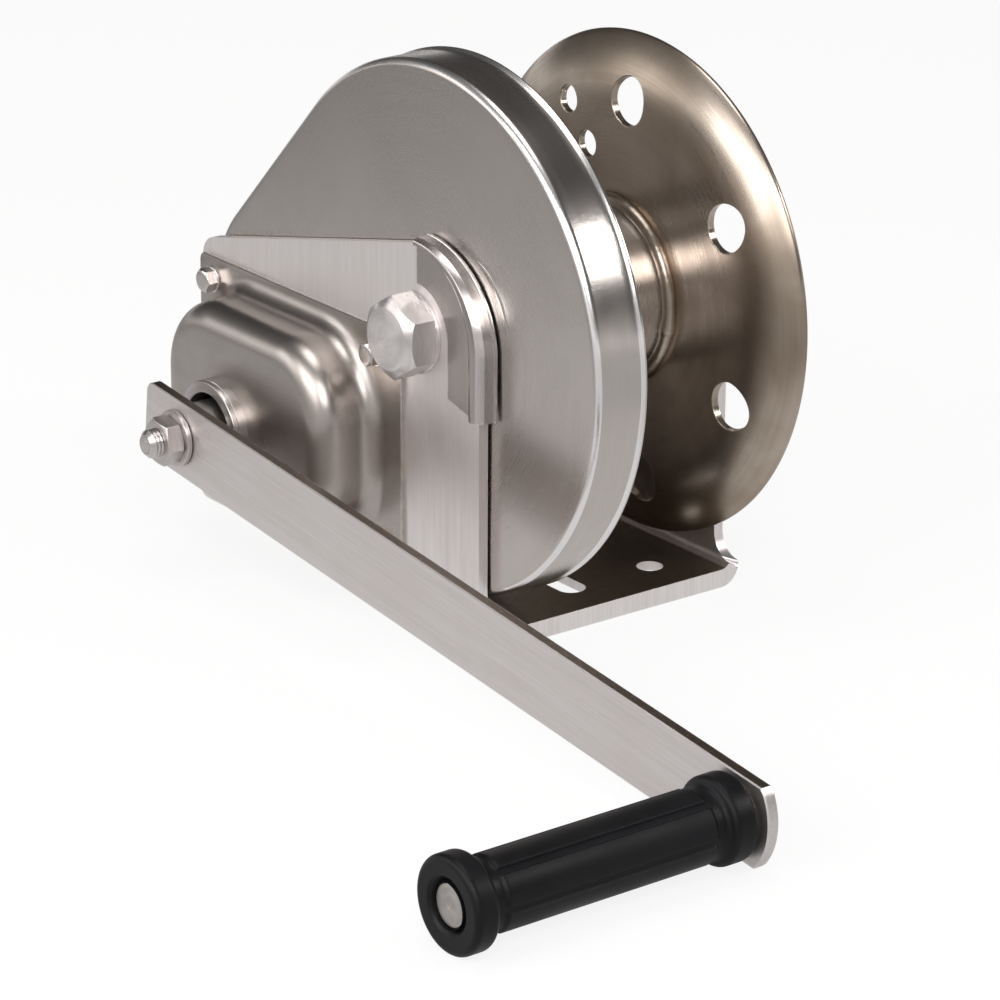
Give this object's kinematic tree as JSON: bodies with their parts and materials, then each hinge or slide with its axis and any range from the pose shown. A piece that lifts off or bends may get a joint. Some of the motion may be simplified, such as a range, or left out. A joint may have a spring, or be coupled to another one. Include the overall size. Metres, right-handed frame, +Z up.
{
  "type": "brake hand winch",
  "caption": "Stainless hand winch: folded frame, geared rope drum with dished flange, enclosed load brake, flat crank with turning rubber grip.",
  "frame": {"origin": "middle of the base's underside", "axes": "+X along the drum axis away from the crank, +Y towards the drive shaft, +Z up"},
  "size_m": [0.2966, 0.382, 0.2079],
  "materials": {
    "plate_steel": "vertically brushed stainless sheet",
    "cover_steel": "polished stainless sheet with swirl marks",
    "polished_steel": "bright pressed stainless strip",
    "bolt_steel": "turned stainless",
    "gear_steel": "machined steel",
    "drum_steel": "polished stainless with radial marks",
    "arm_steel": "lengthwise brushed flat bar",
    "bronze": "bearing bronze",
    "friction": "brake lining",
    "grip_rubber": "black moulded rubber"
  },
  "bodies": {
    "frame": {"frame": "plate_steel", "gear_cover": "cover_steel", "corner_guard": "polished_steel", "brake_cover": "cover_steel", "cover_screws": "bolt_steel", "drum_bolt": "bolt_steel", "bolt_washers": "bolt_steel", "drum_nut": "bolt_steel", "drum_spacers": "gear_steel", "shaft_bushes": "bronze", "pawl_pin": "gear_steel"},
    "drum": {"drum": "drum_steel", "drum_gear": "gear_steel", "drum_bushes": "bronze"},
    "drive": {"drive_shaft": "gear_steel", "pressure_plate": "gear_steel", "shaft_circlip": "gear_steel", "crank_washer": "bolt_steel", "crank_nut": "bolt_steel"},
    "ratchet": {"ratchet_wheel": "gear_steel", "friction_discs": "friction"},
    "pawl": {"pawl": "gear_steel", "pawl_spring": "gear_steel"},
    "crank": {"crank_hub": "gear_steel", "crank_arm": "arm_steel", "grip_pin": "bolt_steel", "grip_washer": "bolt_steel"},
    "grip": {"grip": "grip_rubber"}
  },
  "joints": [
    {"name": "drum_spin", "type": "hinge", "parent": "frame", "child": "drum", "pos_m": [0, -0.042, 0.1082], "axis": [1, 0, 0], "continuous": true},
    {"name": "shaft_spin", "type": "hinge", "parent": "frame", "child": "drive", "pos_m": [0, 0.04811, 0.0519], "axis": [1, 0, 0], "continuous": true},
    {"name": "ratchet_spin", "type": "hinge", "parent": "frame", "child": "ratchet", "pos_m": [0, 0.04811, 0.0519], "axis": [1, 0, 0], "continuous": true},
    {"name": "pawl_lift", "type": "hinge", "parent": "frame", "child": "pawl", "pos_m": [0, 0.01378, 0.06979], "axis": [1, 0, 0], "range_deg": [0, 12], "stiffness_Nm_per_rad": 0.05, "springref_deg": -17.19},
    {"name": "brake_release", "type": "hinge", "parent": "drive", "child": "crank", "pos_m": [0, 0.04811, 0.0519], "axis": [1, 0, 0], "range_deg": [0, 20]},
    {"name": "grip_spin", "type": "hinge", "parent": "crank", "child": "grip", "pos_m": [0, -0.27496, 0.0165], "axis": [1, 0, 0], "continuous": true}
  ],
  "couplings": [
    {"joint": "shaft_spin", "follows": "drum_spin", "ratio": -6.0833}
  ]
}
